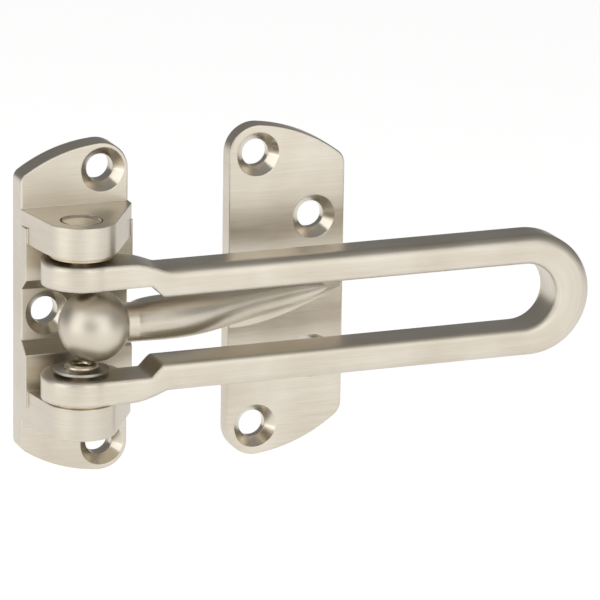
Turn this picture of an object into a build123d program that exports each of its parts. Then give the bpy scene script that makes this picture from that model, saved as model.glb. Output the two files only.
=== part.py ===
from build123d import *
import os

# Swing-bar door guard: a frame bracket with two hinge lugs, a slotted bar that turns between them,
# and a catch plate whose ball runs in the slot.
# Millimetres. +X runs along the closed bar, +Y goes into the wall and +Z is up.
# The origin lies on the back of the frame bracket, behind the hinge axis, at mid height.

# Hinge axis
AXIS_DEPTH = 19.0
PIVOT_RADIUS = 2.9
RUNNING_CLEARANCE = 0.05

# Frame bracket plate
FRAME_HEIGHT = 77.8
FRAME_LEFT = 9.9
FRAME_RIGHT = 15.7
FRAME_THICKNESS = 5.8
FRAME_END_RADIUS = 36.0
FRAME_END_CENTRE_X = 11.2
FRAME_BIG_CORNER = 6.5
FRAME_SMALL_CORNER = 2.5

# Raised pads and the land between them
PAD_THICKNESS = 9.1
LAND_HALF_HEIGHT = 6.0
PAD_START = 8.8

# Hinge lugs
LUG_INNER = 17.4
LUG_HEIGHT = 7.4
LUG_RADIUS = 8.0
LUG_ROOT_RIGHT = 8.3
RIVET_HEAD_SEAT_RADIUS = 4.9
RIVET_HEAD_SEAT_DEPTH = 1.3

# Screw holes
SCREW_HOLE_RADIUS = 3.2
COUNTERSINK_RADIUS = 5.2
COUNTERSINK_ANGLE = 82
FRAME_SCREW_X = 9.6
FRAME_SCREW_SPACING = 65.0
MID_SCREW_X = -3.6

# Swing bar
KNUCKLE_RADIUS = 9.2
KNUCKLE_INNER = 10.7
KNUCKLE_HEIGHT = 5.5
BAR_FRONT = 8.9
BAR_BACK = 1.3
LEG_OUTER = 14.5
SLOT_HALF_HEIGHT = 7.8
SLOT_END = 113.5
BAR_END = 122.1
NOTCH_END = 14.0
ARM_SHOULDER_START = 8.5
ARM_SHOULDER_END = 22.0
ARM_DIP = 1.7
BAR_OUTER_ROUNDING = 2.2
BAR_INNER_ROUNDING = 0.9
BAR_DROP = 0.3

# Catch plate
CATCH_HEIGHT = 79.6
CATCH_LEFT = 41.0
CATCH_RIGHT = 69.5
CATCH_THICKNESS = 4.2
CATCH_END_RADIUS = 38.0
CATCH_END_CENTRE_X = 44.7
CATCH_BIG_CORNER = 7.0
CATCH_SMALL_CORNER = 4.0
CATCH_OUTER_SCREW_X = 48.0
CATCH_OUTER_SCREW_SPACING = 65.2
CATCH_INNER_SCREW_X = 61.9
CATCH_INNER_SCREW_SPACING = 33.5

# Ball and horn of the catch plate
BALL_RADIUS = 8.25
BALL_X = 3.0
BALL_DEPTH = 19.2
NECK_RADIUS = 4.55
NECK_LENGTH = 9.4
HORN_TIP_INSET = 0.8
ROOT_SINK = 0.1

# Washers and rivets
SPACER_RADIUS = 7.3
SPACER_THICKNESS = 0.7
CUP_RADIUS = 6.3
CUP_THICKNESS = 0.6
CUP_RISE = 0.4
ROLL_RADIUS = 3.9
ROLL_HEIGHT = 0.8
RIVET_BORE_RADIUS = 1.9
RIVET_BORE_DEPTH = 6.0
RIVET_HEAD_RADIUS = 4.5
HEAD_DISH = 0.3
WASHER_CLEARANCE = 0.1
EDGE_BREAK = 0.4

LUG_OUTER = LUG_INNER + LUG_HEIGHT
KNUCKLE_OUTER = KNUCKLE_INNER + KNUCKLE_HEIGHT
FACE_OUT = (0, -1, 0)

os.makedirs("parts", exist_ok=True)


def plate_outline(height, left, right, end_radius, end_centre_x):
    """Strip between two upright sides, closed at each end by a flat arc."""
    rise = height / 2 - end_radius

    def end_z(x):
        return rise + (end_radius**2 - (x - end_centre_x) ** 2) ** 0.5

    with BuildLine() as outline:
        ThreePointArc((left, end_z(left)), (end_centre_x, height / 2), (right, end_z(right)))
        Line((right, end_z(right)), (right, 0))
        Line((left, end_z(left)), (left, 0))
        mirror(about=Plane.XZ)
    return outline.line


def screw_plane(x, z, thickness):
    """Place on a plate's front face where a countersunk hole is drilled."""
    return Plane(origin=(x, -thickness, z), x_dir=(1, 0, 0), z_dir=FACE_OUT)


# Frame bracket: one casting with its plate, the pads and the two lugs
with BuildPart() as frame_bracket:
    with BuildSketch(Plane.XZ):
        add(plate_outline(FRAME_HEIGHT, -FRAME_LEFT, FRAME_RIGHT, FRAME_END_RADIUS, FRAME_END_CENTRE_X))
        make_face()
        fillet(vertices().group_by(Axis.X)[-1], FRAME_BIG_CORNER)
        fillet(vertices().group_by(Axis.X)[0], FRAME_SMALL_CORNER)
    extrude(amount=FRAME_THICKNESS)
    fillet(faces().sort_by(Axis.Y)[0].edges(), EDGE_BREAK)
    # Pad profile seen from the side: a slope rises from the land to the pad
    with BuildSketch(Plane.YZ.offset(-FRAME_LEFT)):
        with BuildLine():
            Polyline(
                (-FRAME_THICKNESS / 2, LAND_HALF_HEIGHT),
                (-FRAME_THICKNESS, LAND_HALF_HEIGHT),
                (-PAD_THICKNESS, PAD_START),
                (-PAD_THICKNESS, LUG_INNER + LUG_HEIGHT / 2),
                (-FRAME_THICKNESS / 2, LUG_INNER + LUG_HEIGHT / 2),
                close=True,
            )
        make_face()
        mirror(about=Plane.XZ)
    extrude(amount=FRAME_LEFT + FRAME_RIGHT)
    # Lug seen from above: a round end with flanks tangent to it from both sides of the plate
    with BuildSketch(Plane.XY.offset(LUG_INNER)):
        with BuildLine():
            CenterArc((0, -AXIS_DEPTH), LUG_RADIUS, 0, 360)
            Polyline(
                (-FRAME_LEFT, -FRAME_THICKNESS),
                (-FRAME_LEFT, -FRAME_THICKNESS / 2),
                (FRAME_RIGHT, -FRAME_THICKNESS / 2),
                (FRAME_RIGHT, -LUG_ROOT_RIGHT),
            )
        make_hull()
    extrude(amount=LUG_HEIGHT)
    mirror(about=Plane.XY)
    with Locations(
        screw_plane(FRAME_SCREW_X, FRAME_SCREW_SPACING / 2, FRAME_THICKNESS),
        screw_plane(FRAME_SCREW_X, -FRAME_SCREW_SPACING / 2, FRAME_THICKNESS),
        screw_plane(MID_SCREW_X, 0, FRAME_THICKNESS),
    ):
        CounterSinkHole(SCREW_HOLE_RADIUS, COUNTERSINK_RADIUS, counter_sink_angle=COUNTERSINK_ANGLE)
    with Locations(
        Plane(origin=(0, -AXIS_DEPTH, LUG_OUTER), z_dir=(0, 0, 1)),
        Plane(origin=(0, -AXIS_DEPTH, -LUG_OUTER), z_dir=(0, 0, -1)),
    ):
        CounterBoreHole(
            PIVOT_RADIUS + RUNNING_CLEARANCE, RIVET_HEAD_SEAT_RADIUS, RIVET_HEAD_SEAT_DEPTH, LUG_HEIGHT
        )
frame_bracket.part.label = "frame_bracket"
export_step(frame_bracket.part, "parts/frame_bracket.step")


# Swing bar: a slotted loop, its two arms and the knuckles, cast in one piece
with BuildPart() as swing_bar:
    # Loop seen from the front, with rounded outer and inner edges
    with BuildSketch(Plane.XZ.offset(AXIS_DEPTH - BAR_BACK)):
        with Locations(((NOTCH_END + BAR_END - LEG_OUTER) / 2, 0)):
            Rectangle(BAR_END - LEG_OUTER - NOTCH_END, 2 * LEG_OUTER)
        with Locations((BAR_END - LEG_OUTER, 0)):
            Circle(LEG_OUTER)
        with Locations(((SLOT_END - SLOT_HALF_HEIGHT) / 2, 0)):
            Rectangle(SLOT_END - SLOT_HALF_HEIGHT, 2 * SLOT_HALF_HEIGHT, mode=Mode.SUBTRACT)
        with Locations((SLOT_END - SLOT_HALF_HEIGHT, 0)):
            Circle(SLOT_HALF_HEIGHT, mode=Mode.SUBTRACT)
    extrude(amount=BAR_FRONT + BAR_BACK)
    broad_faces = faces().filter_by(Axis.Y)
    loop_edges = broad_faces.edges().filter_by(lambda edge: edge.length > LEG_OUTER)
    mid_leg = (LEG_OUTER + SLOT_HALF_HEIGHT) / 2
    outer_edges = loop_edges.filter_by(lambda edge: abs(edge.position_at(0).Z) > mid_leg)
    inner_edges = loop_edges.filter_by(lambda edge: abs(edge.position_at(0).Z) < mid_leg)
    fillet(outer_edges, BAR_OUTER_ROUNDING)
    fillet(inner_edges, BAR_INNER_ROUNDING)
    # Arms: sharp flats whose outer side runs down into the rounded legs
    with BuildSketch(Plane.XZ.offset(AXIS_DEPTH - BAR_BACK)):
        with BuildLine():
            shoulder = Spline(
                (ARM_SHOULDER_START, KNUCKLE_OUTER),
                (ARM_SHOULDER_END, LEG_OUTER - ARM_DIP),
                tangents=((1, 0), (1, -0.1)),
            )
            Polyline(
                shoulder @ 1,
                (ARM_SHOULDER_END, SLOT_HALF_HEIGHT + BAR_INNER_ROUNDING),
                (0, SLOT_HALF_HEIGHT + BAR_INNER_ROUNDING),
                (0, KNUCKLE_OUTER),
                shoulder @ 0,
            )
        make_face()
        mirror(about=Plane.XZ)
    extrude(amount=BAR_FRONT + BAR_BACK)
    # Knuckles
    with BuildSketch(Plane.XY.offset(KNUCKLE_INNER)):
        with Locations((0, -AXIS_DEPTH)):
            Circle(KNUCKLE_RADIUS)
    extrude(amount=KNUCKLE_HEIGHT)
    mirror(about=Plane.XY)
    # Notch between the arms, closed by slanted faces where the slot begins
    with BuildSketch(Plane.XZ.offset(AXIS_DEPTH - KNUCKLE_RADIUS)):
        with BuildLine():
            Polyline(
                (-KNUCKLE_RADIUS, KNUCKLE_INNER),
                (NOTCH_END, KNUCKLE_INNER),
                (NOTCH_END + KNUCKLE_INNER - SLOT_HALF_HEIGHT, SLOT_HALF_HEIGHT),
                (NOTCH_END + KNUCKLE_INNER - SLOT_HALF_HEIGHT, -SLOT_HALF_HEIGHT),
                (NOTCH_END, -KNUCKLE_INNER),
                (-KNUCKLE_RADIUS, -KNUCKLE_INNER),
                close=True,
            )
        make_face()
    extrude(amount=2 * KNUCKLE_RADIUS, mode=Mode.SUBTRACT)
    with Locations((0, -AXIS_DEPTH, 0)):
        Hole(PIVOT_RADIUS + RUNNING_CLEARANCE)
swing_bar_part = Location((0, 0, -BAR_DROP)) * swing_bar.part
swing_bar_part.label = "swing_bar"
export_step(swing_bar_part, "parts/swing_bar.step")


# Catch plate: plate, horn and ball in one casting
HORN_TIP = CATCH_RIGHT - HORN_TIP_INSET
HORN_START = BALL_X + NECK_LENGTH
HORN_CREST = BALL_DEPTH + NECK_RADIUS
ROOT_FOOT = CATCH_THICKNESS - ROOT_SINK
# Stations along the horn: share of its length, share of the crest's height above the plate,
# half width over the neck's radius, and depth of its back face from the wall
HORN_STATIONS = (
    (0.00, 1.00, 1.00, BALL_DEPTH - NECK_RADIUS),
    (0.17, 0.935, 1.15, 0.64 * BALL_DEPTH),
    (0.34, 0.80, 1.19, 0.45 * BALL_DEPTH),
    (0.52, 0.55, 1.17, CATCH_THICKNESS / 2),
    (0.72, 0.30, 0.95, CATCH_THICKNESS / 4),
    (0.90, 0.12, 0.50, CATCH_THICKNESS / 4),
    (1.00, -0.03, 0.20, CATCH_THICKNESS / 4),
)
# Stations of the flared root: share of the way to the tip, half width at its foot, radius of its flare
ROOT_STATIONS = (
    (0.00, 9.3, 5.5),
    (0.30, 8.4, 4.6),
    (0.55, 6.4, 3.4),
    (0.80, 3.7, 2.0),
    (1.00, 1.2, 0.6),
)


def along(start, end, share):
    return start + share * (end - start)


with BuildPart() as catch_plate:
    with BuildSketch(Plane.XZ):
        add(plate_outline(CATCH_HEIGHT, CATCH_LEFT, CATCH_RIGHT, CATCH_END_RADIUS, CATCH_END_CENTRE_X))
        make_face()
        fillet(vertices().group_by(Axis.X)[0], CATCH_BIG_CORNER)
        fillet(vertices().group_by(Axis.X)[-1], CATCH_SMALL_CORNER)
    extrude(amount=CATCH_THICKNESS)
    fillet(faces().sort_by(Axis.Y)[0].edges(), EDGE_BREAK)
    # Horn: oval sections that grow from the neck, then sink into the plate
    for share, height_share, width_share, back in HORN_STATIONS:
        crest = along(CATCH_THICKNESS, HORN_CREST, height_share)
        with BuildSketch(Plane.YZ.offset(along(HORN_START, HORN_TIP, share))):
            with Locations((-(crest + back) / 2, 0)):
                Ellipse((crest - back) / 2, width_share * NECK_RADIUS)
    loft()
    # Root: hollow flanks that spread from the horn onto the plate, their foot a little below its face
    for share, half_width, flare in ROOT_STATIONS:
        with BuildSketch(Plane.YZ.offset(along(CATCH_LEFT + EDGE_BREAK, HORN_TIP, share))):
            with BuildLine():
                Polyline(
                    (-CATCH_THICKNESS / 2, 0),
                    (-CATCH_THICKNESS / 2, half_width),
                    (-ROOT_FOOT, half_width),
                )
                TangentArc(
                    (-ROOT_FOOT, half_width),
                    (-ROOT_FOOT - flare, half_width - flare),
                    tangent=(0, -1),
                )
                Line((-ROOT_FOOT - flare, half_width - flare), (-ROOT_FOOT - flare, 0))
                mirror(about=Plane.XZ)
            make_face()
    loft()
    with BuildSketch(Plane.YZ.offset(BALL_X)):
        with Locations((-BALL_DEPTH, 0)):
            Circle(NECK_RADIUS)
    extrude(amount=NECK_LENGTH)
    with Locations((BALL_X, -BALL_DEPTH, 0)):
        Sphere(BALL_RADIUS, rotation=(0, 90, 0))
    with Locations(
        screw_plane(CATCH_OUTER_SCREW_X, CATCH_OUTER_SCREW_SPACING / 2, CATCH_THICKNESS),
        screw_plane(CATCH_OUTER_SCREW_X, -CATCH_OUTER_SCREW_SPACING / 2, CATCH_THICKNESS),
        screw_plane(CATCH_INNER_SCREW_X, CATCH_INNER_SCREW_SPACING / 2, CATCH_THICKNESS),
        screw_plane(CATCH_INNER_SCREW_X, -CATCH_INNER_SCREW_SPACING / 2, CATCH_THICKNESS),
    ):
        CounterSinkHole(SCREW_HOLE_RADIUS, COUNTERSINK_RADIUS, counter_sink_angle=COUNTERSINK_ANGLE)
catch_plate.part.label = "catch_plate"
export_step(catch_plate.part, "parts/catch_plate.step")


# Rivets, spacer washers and cup washers: one of each above and one below, mirror images
AXIS_LINE = Axis((0, -AXIS_DEPTH, 0), (0, 0, 1))
CUP_TOP = KNUCKLE_INNER - BAR_DROP - WASHER_CLEARANCE
CUP_BOTTOM = CUP_TOP - CUP_THICKNESS - CUP_RISE
ROLL_END = CUP_BOTTOM - ROLL_HEIGHT

for side, mirror_plane in (("upper", None), ("lower", Plane.XY)):
    # Rivet: a flush head in the lug, a shank through lug and knuckle, and a rolled hollow end
    with BuildPart() as rivet:
        with BuildSketch(Plane.XZ.offset(AXIS_DEPTH)):
            with BuildLine():
                Polyline(
                    (0, ROLL_END + RIVET_BORE_DEPTH),
                    (0, LUG_OUTER - HEAD_DISH),
                    (RIVET_HEAD_RADIUS - HEAD_DISH, LUG_OUTER - HEAD_DISH),
                    (RIVET_HEAD_RADIUS, LUG_OUTER),
                    (RIVET_HEAD_RADIUS, LUG_OUTER - RIVET_HEAD_SEAT_DEPTH),
                    (PIVOT_RADIUS, LUG_OUTER - RIVET_HEAD_SEAT_DEPTH),
                    (PIVOT_RADIUS, CUP_BOTTOM),
                    (ROLL_RADIUS, CUP_BOTTOM),
                )
                ThreePointArc(
                    (ROLL_RADIUS, CUP_BOTTOM),
                    ((ROLL_RADIUS + RIVET_BORE_RADIUS) / 2, ROLL_END),
                    (RIVET_BORE_RADIUS, CUP_BOTTOM),
                )
                Polyline(
                    (RIVET_BORE_RADIUS, CUP_BOTTOM),
                    (RIVET_BORE_RADIUS, ROLL_END + RIVET_BORE_DEPTH),
                    (0, ROLL_END + RIVET_BORE_DEPTH),
                )
            make_face()
        revolve(axis=AXIS_LINE)
        if mirror_plane:
            mirror(about=mirror_plane, mode=Mode.REPLACE)
    rivet.part.label = f"{side}_rivet"
    export_step(rivet.part, f"parts/{side}_rivet.step")

    # Spacer washer: a flat ring against the lug
    with BuildPart() as spacer:
        with BuildSketch(Plane.XY.offset(LUG_INNER - SPACER_THICKNESS)):
            with Locations((0, -AXIS_DEPTH)):
                Circle(SPACER_RADIUS)
                Circle(PIVOT_RADIUS + RUNNING_CLEARANCE, mode=Mode.SUBTRACT)
        extrude(amount=SPACER_THICKNESS)
        if mirror_plane:
            mirror(about=mirror_plane, mode=Mode.REPLACE)
    spacer.part.label = f"{side}_spacer_washer"
    export_step(spacer.part, f"parts/{side}_spacer_washer.step")

    # Cup washer: a dished spring ring held against the knuckle by the rolled end
    with BuildPart() as cup:
        with BuildSketch(Plane.XZ.offset(AXIS_DEPTH)):
            with BuildLine():
                Polyline(
                    (PIVOT_RADIUS + RUNNING_CLEARANCE, CUP_BOTTOM),
                    (PIVOT_RADIUS + RUNNING_CLEARANCE, CUP_BOTTOM + CUP_THICKNESS),
                    (CUP_RADIUS, CUP_TOP),
                    (CUP_RADIUS, CUP_TOP - CUP_THICKNESS),
                    (ROLL_RADIUS, CUP_BOTTOM),
                    close=True,
                )
            make_face()
        revolve(axis=AXIS_LINE)
        if mirror_plane:
            mirror(about=mirror_plane, mode=Mode.REPLACE)
    cup.part.label = f"{side}_cup_washer"
    export_step(cup.part, f"parts/{side}_cup_washer.step")
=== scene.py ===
# %% [markdown]
# A swing-bar door guard in satin nickel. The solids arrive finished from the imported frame: a bracket with two
# lugs, a slotted bar, a plate with a ball on a horn, and the small rivets and washers of the hinge. This
# lesson gives them their metal, sets up a small studio and places the camera.

# %% Load the frame
import math

import bpy
import numpy as np
from mathutils import Matrix, Vector


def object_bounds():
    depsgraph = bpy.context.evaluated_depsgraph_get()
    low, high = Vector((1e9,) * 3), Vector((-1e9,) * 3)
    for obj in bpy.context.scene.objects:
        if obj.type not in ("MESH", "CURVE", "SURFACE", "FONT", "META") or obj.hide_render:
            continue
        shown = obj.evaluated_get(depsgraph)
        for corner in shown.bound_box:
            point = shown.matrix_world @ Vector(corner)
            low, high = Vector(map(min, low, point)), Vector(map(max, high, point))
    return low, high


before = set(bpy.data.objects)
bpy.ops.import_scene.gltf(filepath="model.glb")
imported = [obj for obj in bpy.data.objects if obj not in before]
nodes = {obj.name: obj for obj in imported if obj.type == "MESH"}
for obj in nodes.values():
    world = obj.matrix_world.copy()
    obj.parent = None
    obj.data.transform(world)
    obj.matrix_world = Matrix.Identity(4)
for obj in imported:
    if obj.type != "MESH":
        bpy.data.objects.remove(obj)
cad_low, cad_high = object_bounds()
MM = 0.001
print("solids", len(nodes), "box in mm", [round(v / MM, 1) for v in (*cad_low, *cad_high)])

# %% [markdown]
# Metal looks right when its edges catch the light and its brushing is fine and directed. Both effects are
# used by every casting here, so each is a node group with named sockets. A small helper keeps the groups
# readable: it adds a node, sets its properties and plugs its inputs in one call.


# %% Helpers for node trees
def add_node(tree, kind, inputs=None, **properties):
    """Add a node, set its properties, then set or link each named or numbered input."""
    node = tree.nodes.new(kind)
    for key, value in properties.items():
        setattr(node, key, value)
    for key, value in (inputs or {}).items():
        if isinstance(value, bpy.types.NodeSocket):
            tree.links.new(value, node.inputs[key])
        else:
            node.inputs[key].default_value = value
    return node


def calculate(tree, operation, first, second=0.0, third=0.0):
    """One arithmetic node: the result of an operation on up to three values."""
    return add_node(tree, "ShaderNodeMath", {0: first, 1: second, 2: third}, operation=operation).outputs[0]


def noise(tree, place, scale, detail):
    """Smooth noise from 0 to 1 at a place."""
    inputs = {"Vector": place, "Scale": scale, "Detail": detail}
    return add_node(tree, "ShaderNodeTexNoise", inputs).outputs[0]


def blend(tree, share, first, second):
    """Colour between two colours by a share from 0 to 1; each is a socket or (red, green, blue)."""
    node = add_node(tree, "ShaderNodeMix", {"Factor": share}, data_type="RGBA")
    for socket, colour in ((node.inputs["A"], first), (node.inputs["B"], second)):
        if isinstance(colour, bpy.types.NodeSocket):
            tree.links.new(colour, socket)
        else:
            socket.default_value = (*colour, 1.0)
    return node.outputs[2]


def between(tree, value, low, high, low_result=0.0, high_result=1.0):
    """Map a value from one range to another, held at the ends."""
    inputs = {0: value, 1: low, 2: high, 3: low_result, 4: high_result}
    return add_node(tree, "ShaderNodeMapRange", inputs).outputs[0]


def new_group(name, inputs, outputs):
    """An empty shader group whose sockets are given as (name, type, default)."""
    group = bpy.data.node_groups.new(name, "ShaderNodeTree")
    for socket_name, kind, default in inputs:
        socket = group.interface.new_socket(socket_name, in_out="INPUT", socket_type=kind)
        if default is not None:
            socket.default_value = default
    for socket_name, kind in outputs:
        group.interface.new_socket(socket_name, in_out="OUTPUT", socket_type=kind)
    return group, group.nodes.new("NodeGroupInput").outputs, group.nodes.new("NodeGroupOutput").inputs


# %% [markdown]
# Brushing leaves scratches that are long one way and very narrow the other. Noise that is squeezed across
# the grain and stretched along it gives such scratches. Two layers, one fine and one broader, keep the
# surface from looking like a printed pattern.


# %% Brushed grain group
FINE_SHARE = 0.65
BROAD_SHARE = 1.0 - FINE_SHARE
FINE_SCALE, FINE_DETAIL = 1.0, 3.0
BROAD_SCALE, BROAD_DETAIL = 0.23, 2.0
CLOUD_SCALE, CLOUD_DETAIL = 70.0, 2.0


def make_grain_group():
    """Streaks = fine share * fine noise + broad share * broad noise, at (x / length, y / width, z / width).

    Round = 1 stretches the noise along y as well, so that scratches go level round upright faces.
    """
    group, given, put = new_group(
        "brushed_grain",
        [
            ("Position", "NodeSocketVector", None),
            ("Length", "NodeSocketFloat", 8 * MM),
            ("Width", "NodeSocketFloat", 0.2 * MM),
            ("Round", "NodeSocketFloat", 0.0),
        ],
        [("Streaks", "NodeSocketFloat"), ("Clouds", "NodeSocketFloat")],
    )
    axes = add_node(group, "ShaderNodeSeparateXYZ", {0: given["Position"]}).outputs
    per_length = calculate(group, "DIVIDE", 1.0, given["Length"])
    per_width = calculate(group, "DIVIDE", 1.0, given["Width"])
    per_depth = add_node(
        group, "ShaderNodeMix", {"Factor": given["Round"], "A": per_width, "B": per_length}, data_type="FLOAT"
    ).outputs[0]
    stretched = add_node(
        group,
        "ShaderNodeCombineXYZ",
        {
            0: calculate(group, "MULTIPLY", axes[0], per_length),
            1: calculate(group, "MULTIPLY", axes[1], per_depth),
            2: calculate(group, "MULTIPLY", axes[2], per_width),
        },
    ).outputs[0]
    fine = noise(group, stretched, FINE_SCALE, FINE_DETAIL)
    broad = noise(group, stretched, BROAD_SCALE, BROAD_DETAIL)
    fine_part = calculate(group, "MULTIPLY", fine, FINE_SHARE)
    streaks = calculate(group, "MULTIPLY_ADD", broad, BROAD_SHARE, fine_part)
    clouds = noise(group, given["Position"], CLOUD_SCALE, CLOUD_DETAIL)
    group.links.new(streaks, put["Streaks"])
    group.links.new(clouds, put["Clouds"])
    return group


grain_group = make_grain_group()
print("group", grain_group.name, [item.name for item in grain_group.interface.items_tree])

# %% [markdown]
# A casting's edges are a little round and polished by handling, and catch the light as thin lines. The Bevel
# node gives the normal that a rounded edge would have. Where that normal leans away from the face's own, there
# is an edge, and the lean makes a mask for the polish and for a highlight painted into the colour along the
# edges.


# %% Soft edge group
EDGE_SAMPLES = 6


def make_edge_group():
    """Normal = the rounded normal. Edge = gain * (1 - rounded . flat), kept within 0 and 1."""
    group, given, put = new_group(
        "soft_edge",
        [("Radius", "NodeSocketFloat", 0.3 * MM), ("Gain", "NodeSocketFloat", 5.0)],
        [("Normal", "NodeSocketVector"), ("Edge", "NodeSocketFloat")],
    )
    rounded = add_node(group, "ShaderNodeBevel", {"Radius": given["Radius"]}, samples=EDGE_SAMPLES).outputs[0]
    flat = add_node(group, "ShaderNodeNewGeometry").outputs["Normal"]
    agreement = add_node(group, "ShaderNodeVectorMath", {0: rounded, 1: flat}, operation="DOT_PRODUCT")
    lean = calculate(group, "SUBTRACT", 1.0, agreement.outputs[1])
    raised = calculate(group, "MULTIPLY", lean, given["Gain"])
    edge = add_node(group, "ShaderNodeClamp", {0: raised}).outputs[0]
    group.links.new(rounded, put["Normal"])
    group.links.new(edge, put["Edge"])
    return group


edge_group = make_edge_group()
print("group", edge_group.name, [item.name for item in edge_group.interface.items_tree])

# %% [markdown]
# The scratches follow each piece. On plates they run level, so a point's own place is enough. On the bar they
# run along the legs and round the end, so the distance from the slot's middle line takes the place of the
# height: it is the same all along a scratch, on the straight and on the bend.


# %% Where the scratches run
BEND_CENTRE_X = 107.6 * MM
KNUCKLE_REACH = 8.0 * MM
UPRIGHT_LIMIT = 0.7


def level_position(tree):
    """Object coordinates, and 1 where a face stands upright, so that scratches go level round it."""
    here = add_node(tree, "ShaderNodeTexCoord").outputs
    upward = add_node(tree, "ShaderNodeSeparateXYZ", {0: here["Normal"]}).outputs[2]
    steepness = calculate(tree, "ABSOLUTE", upward)
    return here["Object"], calculate(tree, "LESS_THAN", steepness, UPRIGHT_LIMIT)


def bar_position(tree):
    """(x, y, distance from the slot's middle line); upright faces count only at the knuckles."""
    here = add_node(tree, "ShaderNodeTexCoord").outputs
    axes = add_node(tree, "ShaderNodeSeparateXYZ", {0: here["Object"]}).outputs
    from_centre = calculate(tree, "SUBTRACT", axes[0], BEND_CENTRE_X)
    past_bend = calculate(tree, "MAXIMUM", from_centre, 0.0)
    spread = add_node(tree, "ShaderNodeCombineXYZ", {0: past_bend, 2: axes[2]}).outputs[0]
    distance = add_node(tree, "ShaderNodeVectorMath", {0: spread}, operation="LENGTH").outputs[1]
    place = add_node(tree, "ShaderNodeCombineXYZ", {0: axes[0], 1: axes[1], 2: distance}).outputs[0]
    return place, calculate(tree, "LESS_THAN", axes[0], KNUCKLE_REACH)


# %% [markdown]
# The screw holes' cones are turned, so they are smoother than the brushed faces round them. The ball isn't
# brushed either, and it is a little rougher. Such a spot has a centre, a radius and values of its own, which
# take the place of the roughness and of the grain inside that radius.


# %% Spots with values of their own
def make_spot_group():
    """Value = the given one outside the radius round the centre, the spot's own inside it."""
    group, given, put = new_group(
        "spot",
        [
            ("Value", "NodeSocketFloat", 0.3),
            ("Centre", "NodeSocketVector", None),
            ("Radius", "NodeSocketFloat", 5 * MM),
            ("Spot Value", "NodeSocketFloat", 0.2),
        ],
        [("Value", "NodeSocketFloat")],
    )
    here = add_node(group, "ShaderNodeTexCoord").outputs["Object"]
    apart = add_node(group, "ShaderNodeVectorMath", {0: here, 1: given["Centre"]}, operation="DISTANCE")
    inside = calculate(group, "LESS_THAN", apart.outputs[1], given["Radius"])
    value = add_node(
        group,
        "ShaderNodeMix",
        {"Factor": inside, "A": given["Value"], "B": given["Spot Value"]},
        data_type="FLOAT",
    ).outputs[0]
    group.links.new(value, put["Value"])
    return group


spot_group = make_spot_group()


def spot_value(tree, value, centre, radius, own_value):
    """The value with one spot added: its centre and radius are in millimetres."""
    node = add_node(tree, "ShaderNodeGroup", node_tree=spot_group)
    tree.links.new(value, node.inputs["Value"])
    node.inputs["Centre"].default_value = Vector(centre) * MM
    node.inputs["Radius"].default_value = radius * MM
    node.inputs["Spot Value"].default_value = own_value
    return node.outputs["Value"]


print("group", spot_group.name, [item.name for item in spot_group.interface.items_tree])

# %% [markdown]
# One function makes every metal of the guard. The grain feeds a very shallow bump and varies the roughness,
# broad clouds shift the colour a little as plating does, and the edge mask polishes edges and paints a
# highlight into their colour. The values that are the same all over a surface stay on the shader's own sockets.


# %% Satin metal
PLAIN_STREAK = 0.5
CLOUD_SHARE = 0.5
STREAK_SHARE = 1.0 - CLOUD_SHARE
TONE_RANGE = (0.34, 0.65)
STREAK_RANGE = (0.3, 0.7)
GRAIN_LENGTH_AND_WIDTH = (7.0, 0.3)
EDGE_WEAR_AND_HIGHLIGHT_GAIN = 1.12
EDGE_POLISH = -0.06
SMOOTHER = 0.04
ROUGHER = 0.05


def satin_metal(
    name,
    colour,
    dark,
    roughness,
    position=level_position,
    grain=GRAIN_LENGTH_AND_WIDTH,
    depth=0.004,
    edge=0.3,
    spots=(),
):
    """Principled metal: colour = mix(dark, colour, clouds and grain), with a painted edge highlight; roughness
    = base + grain - edge polish.

    Grain, depth and edge are in millimetres. Each spot is (centre in mm, radius in mm, roughness): inside
    that radius the roughness is the spot's own and there is no grain.
    """
    material = bpy.data.materials.new(name)
    material.use_nodes = True
    tree = material.node_tree
    shader = tree.nodes["Principled BSDF"]
    shader.inputs["Metallic"].default_value = 1.0
    place, level = position(tree)
    brushing = add_node(tree, "ShaderNodeGroup", node_tree=grain_group)
    tree.links.new(place, brushing.inputs["Position"])
    tree.links.new(level, brushing.inputs["Round"])
    brushing.inputs["Length"].default_value = grain[0] * MM
    brushing.inputs["Width"].default_value = grain[1] * MM
    edges = add_node(tree, "ShaderNodeGroup", node_tree=edge_group)
    edges.inputs["Radius"].default_value = edge * MM
    streak = brushing.outputs["Streaks"]
    for centre, radius, _ in spots:
        streak = spot_value(tree, streak, centre, radius, PLAIN_STREAK)
    streak_part = calculate(tree, "MULTIPLY", streak, STREAK_SHARE)
    tone = calculate(tree, "MULTIPLY_ADD", brushing.outputs["Clouds"], CLOUD_SHARE, streak_part)
    base = blend(tree, between(tree, tone, *TONE_RANGE), dark, colour)
    # Edge colour is lifted partly for polish from wear and partly as a highlight painted along the edges.
    bright = [min(1.0, part * EDGE_WEAR_AND_HIGHLIGHT_GAIN) for part in colour]
    polished_and_highlit = blend(tree, edges.outputs["Edge"], base, bright)
    tree.links.new(polished_and_highlit, shader.inputs["Base Color"])
    grained = between(tree, streak, *STREAK_RANGE, roughness - SMOOTHER, roughness + ROUGHER)
    worn = calculate(tree, "MULTIPLY_ADD", edges.outputs["Edge"], EDGE_POLISH, grained)
    for centre, radius, spot_roughness in spots:
        worn = spot_value(tree, worn, centre, radius, spot_roughness)
    tree.links.new(worn, shader.inputs["Roughness"])
    bump = add_node(tree, "ShaderNodeBump", {"Height": streak, "Normal": edges.outputs["Normal"]})
    bump.inputs["Strength"].default_value = 1.0
    bump.inputs["Distance"].default_value = depth * MM
    tree.links.new(bump.outputs[0], shader.inputs["Normal"])
    return material


def dress(node_name, material):
    """Give a solid its material by filling its slots; the mesh itself stays as it is."""
    slots = nodes[node_name].material_slots
    if not slots:
        nodes[node_name].data.materials.append(material)
    for each in slots:
        each.material = material


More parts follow.
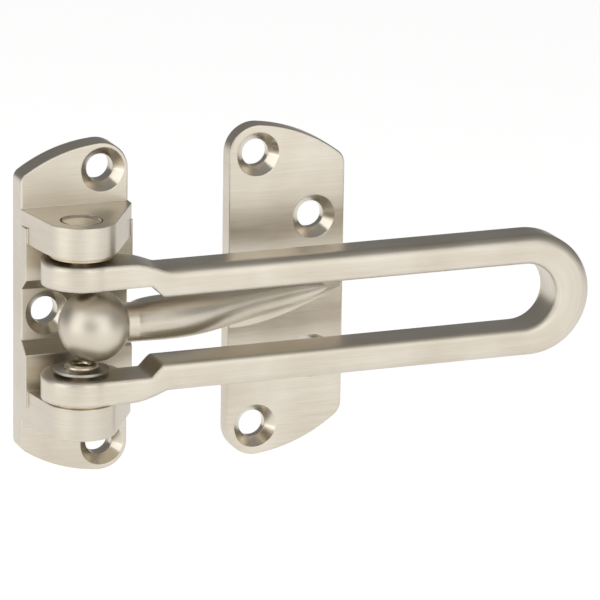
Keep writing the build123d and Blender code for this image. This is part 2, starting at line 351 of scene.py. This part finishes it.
# The castings are satin nickel, of which the bracket's is a little darker; lengths are in millimetres
NICKEL = (0.7, 0.65, 0.565)
NICKEL_DARK = (0.56, 0.5, 0.405)
BRACKET_NICKEL = (0.67, 0.62, 0.535)
BRACKET_NICKEL_DARK = (0.55, 0.495, 0.405)
CASTING_GRAIN_DEPTH = 0.006
BAR_GRAIN = (14.0, 0.3)
BAR_EDGE = 1.7

# The ball and the cones of the screw holes, in millimetres
CONE_RADIUS = 5.25
CONE_ROUGHNESS = 0.2
FRAME_FACE_Y = -5.8
CATCH_FACE_Y = -4.2
FRAME_HOLES = [(9.6, 32.5), (9.6, -32.5), (-3.6, 0.0)]
CATCH_HOLES = [(48.0, 32.6), (48.0, -32.6), (61.9, 16.75), (61.9, -16.75)]
BALL_CENTRE = (3.0, -19.2, 0.0)
BALL_REACH = 8.35
BALL_ROUGHNESS = 0.42

frame_cones = [((x, FRAME_FACE_Y, z), CONE_RADIUS, CONE_ROUGHNESS) for x, z in FRAME_HOLES]
catch_cones = [((x, CATCH_FACE_Y, z), CONE_RADIUS, CONE_ROUGHNESS) for x, z in CATCH_HOLES]
ball_spot = (BALL_CENTRE, BALL_REACH, BALL_ROUGHNESS)
plate_metal = satin_metal(
    "nickel_plate", BRACKET_NICKEL, BRACKET_NICKEL_DARK, 0.34, depth=CASTING_GRAIN_DEPTH, spots=frame_cones
)
bar_metal = satin_metal(
    "nickel_bar",
    NICKEL,
    NICKEL_DARK,
    0.33,
    position=bar_position,
    grain=BAR_GRAIN,
    depth=CASTING_GRAIN_DEPTH,
    edge=BAR_EDGE,
)
catch_metal = satin_metal(
    "nickel_catch", NICKEL, NICKEL_DARK, 0.33, depth=CASTING_GRAIN_DEPTH, spots=[*catch_cones, ball_spot]
)
rivet_metal = satin_metal("rivet_plating", (0.72, 0.66, 0.56), (0.55, 0.47, 0.34), 0.28, edge=0.1)
brass_metal = satin_metal("washer_brass", (0.7, 0.58, 0.4), (0.52, 0.42, 0.28), 0.3, edge=0.1)
spring_metal = satin_metal("spring_steel", (0.56, 0.54, 0.5), (0.42, 0.4, 0.36), 0.25, edge=0.1)

dress("frame_bracket", plate_metal)
dress("catch_plate", catch_metal)
dress("swing_bar", bar_metal)
for side in ("upper", "lower"):
    dress(f"{side}_rivet", rivet_metal)
    dress(f"{side}_spacer_washer", brass_metal)
    dress(f"{side}_cup_washer", spring_metal)
print("materials", sorted(material.name for material in bpy.data.materials))

# %% [markdown]
# The guard hangs on a door, so the pale floor lies a little way below it. The floor adds a glow of its own
# for the eye and for reflections alone, so that it shows as white while the light that falls on the metal
# stays plain. So far below, and on so bright a floor, the guard's soft shadow hardly shows.

# %% Floor
FLOOR_GAP = 60 * MM
FLOOR_HALF = 8.0
FLOOR_GLOW = 0.62
FLOOR_PAINT = (0.93, 0.93, 0.93, 1.0)
floor_z = cad_low.z - FLOOR_GAP


def make_floor():
    """A square of four points at one height, in a plain pale diffuse colour."""
    corners = FLOOR_HALF * np.array([(-1, -1, 0), (1, -1, 0), (1, 1, 0), (-1, 1, 0)], float)
    corners[:, 2] = floor_z
    mesh = bpy.data.meshes.new("floor")
    mesh.from_pydata(corners.tolist(), [], [(0, 1, 2, 3)])
    floor = bpy.data.objects.new("floor", mesh)
    bpy.context.scene.collection.objects.link(floor)
    material = bpy.data.materials.new("floor_paint")
    material.use_nodes = True
    shader = material.node_tree.nodes["Principled BSDF"]
    shader.inputs["Base Color"].default_value = FLOOR_PAINT
    shader.inputs["Roughness"].default_value = 0.9
    shader.inputs["Specular IOR Level"].default_value = 0.0
    shader.inputs["Emission Color"].default_value = (1.0, 1.0, 1.0, 1.0)
    ray = add_node(material.node_tree, "ShaderNodeLightPath").outputs
    seen = calculate(material.node_tree, "MAXIMUM", ray["Is Camera Ray"], ray["Is Glossy Ray"])
    seen = calculate(material.node_tree, "MAXIMUM", seen, ray["Is Transmission Ray"])
    glow = calculate(material.node_tree, "MULTIPLY", seen, FLOOR_GLOW)
    material.node_tree.links.new(glow, shader.inputs["Emission Strength"])
    mesh.materials.append(material)
    return floor


floor = make_floor()
print(floor.name, "at z in mm", round(floor_z / MM, 1))

# %% [markdown]
# Satin metal shows its surroundings as soft bands. Two tall softboxes, one to the left and one in front to
# the right, leave a dimmer gap between them, which gives the round lugs their light, dark, light banding.
# A smaller one stands higher in that gap and lights the ball's middle and the upper roundings. The world is
# a plain grey, paler on the viewer's side, so that faces that look up, which mirror what is behind the guard,
# come out darker than the front.

# %% Lights
def aim(obj, place, target):
    """Stand an object at a place and turn its -Z axis to a target."""
    obj.location = place
    obj.rotation_euler = (Vector(target) - Vector(place)).to_track_quat("-Z", "Y").to_euler()


def direction(azimuth, elevation):
    """Unit vector from the object, in degrees: azimuth 0 is -Y and grows to the right, 0 elevation is level.

    It is (sin a * cos e, -cos a * cos e, sin e).
    """
    a, e = math.radians(azimuth), math.radians(elevation)
    return Vector((math.sin(a) * math.cos(e), -math.cos(a) * math.cos(e), math.sin(e)))


MIDDLE = (cad_low + cad_high) / 2


def softbox(name, azimuth, elevation, distance, width, height, radiance):
    """A rectangular lamp that looks at the object. Its power = radiance * pi * width * height.

    Angles are in degrees, lengths in metres.
    """
    lamp = bpy.data.lights.new(name, "AREA")
    lamp.shape = "RECTANGLE"
    lamp.size, lamp.size_y = width, height
    lamp.energy = radiance * math.pi * width * height
    holder = bpy.data.objects.new(name, lamp)
    bpy.context.scene.collection.objects.link(holder)
    aim(holder, MIDDLE + direction(azimuth, elevation) * distance, MIDDLE)
    holder.visible_camera = False
    return holder


lamps = [
    softbox("left_softbox", -78, 12, 1.0, 0.8, 1.4, 1.35),
    softbox("right_softbox", 10, 14, 1.1, 0.8, 1.2, 1.05),
    softbox("top_softbox", -24, 38, 1.2, 0.8, 0.5, 0.9),
]
print("lamps", [(lamp.name, round(lamp.data.energy, 2)) for lamp in lamps])


FRONT_GREY = (0.42, 0.42, 0.412)
BACK_GREY = (0.23, 0.23, 0.23)
FADE_RANGE = (-0.7, 0.5)


def make_world():
    """World colour by the ray's depth: from pale grey on the viewer's side to dark grey behind the guard."""
    world = bpy.data.worlds.new("studio")
    bpy.context.scene.world = world
    world.use_nodes = True
    tree = world.node_tree
    ray = add_node(tree, "ShaderNodeTexCoord").outputs["Generated"]
    depth = add_node(tree, "ShaderNodeSeparateXYZ", {0: ray}).outputs[1]
    behind = between(tree, depth, *FADE_RANGE)
    sky = blend(tree, behind, FRONT_GREY, BACK_GREY)
    tree.links.new(sky, tree.nodes["Background"].inputs["Color"])
    return world


world = make_world()
print("world", world.name)

# %% [markdown]
# The camera stands where the photographer stood: to the left of the guard and a little above it, far away,
# through a long lens.

# %% Camera
CAMERA_AZIMUTH = -21.672
CAMERA_ELEVATION = 15.878
CAMERA_ROLL = 0.863
CAMERA_DISTANCE = 1214.44 * MM
CAMERA_TARGET = Vector((60.51, 0.0, -4.43)) * MM
IMAGE_SIZE = 600
FOCAL_PIXELS = 5207.4
SENSOR_WIDTH = 36.0


def make_camera():
    """Lens = focal length in pixels * sensor width / image width. It looks from its angle at the target."""
    data = bpy.data.cameras.new("camera")
    data.sensor_width = SENSOR_WIDTH
    data.lens = FOCAL_PIXELS * SENSOR_WIDTH / IMAGE_SIZE
    data.clip_start, data.clip_end = 0.01, 50.0
    camera = bpy.data.objects.new("camera", data)
    bpy.context.scene.collection.objects.link(camera)
    place = CAMERA_TARGET + direction(CAMERA_AZIMUTH, CAMERA_ELEVATION) * CAMERA_DISTANCE
    turn = (CAMERA_TARGET - place).to_track_quat("-Z", "Y").to_matrix().to_4x4()
    roll = Matrix.Rotation(math.radians(CAMERA_ROLL), 4, "Z")
    camera.matrix_world = Matrix.Translation(place) @ turn @ roll
    bpy.context.scene.camera = camera
    return camera


camera = make_camera()
bpy.context.scene.view_settings.view_transform = "Standard"
print("lens in mm", round(camera.data.lens, 1))
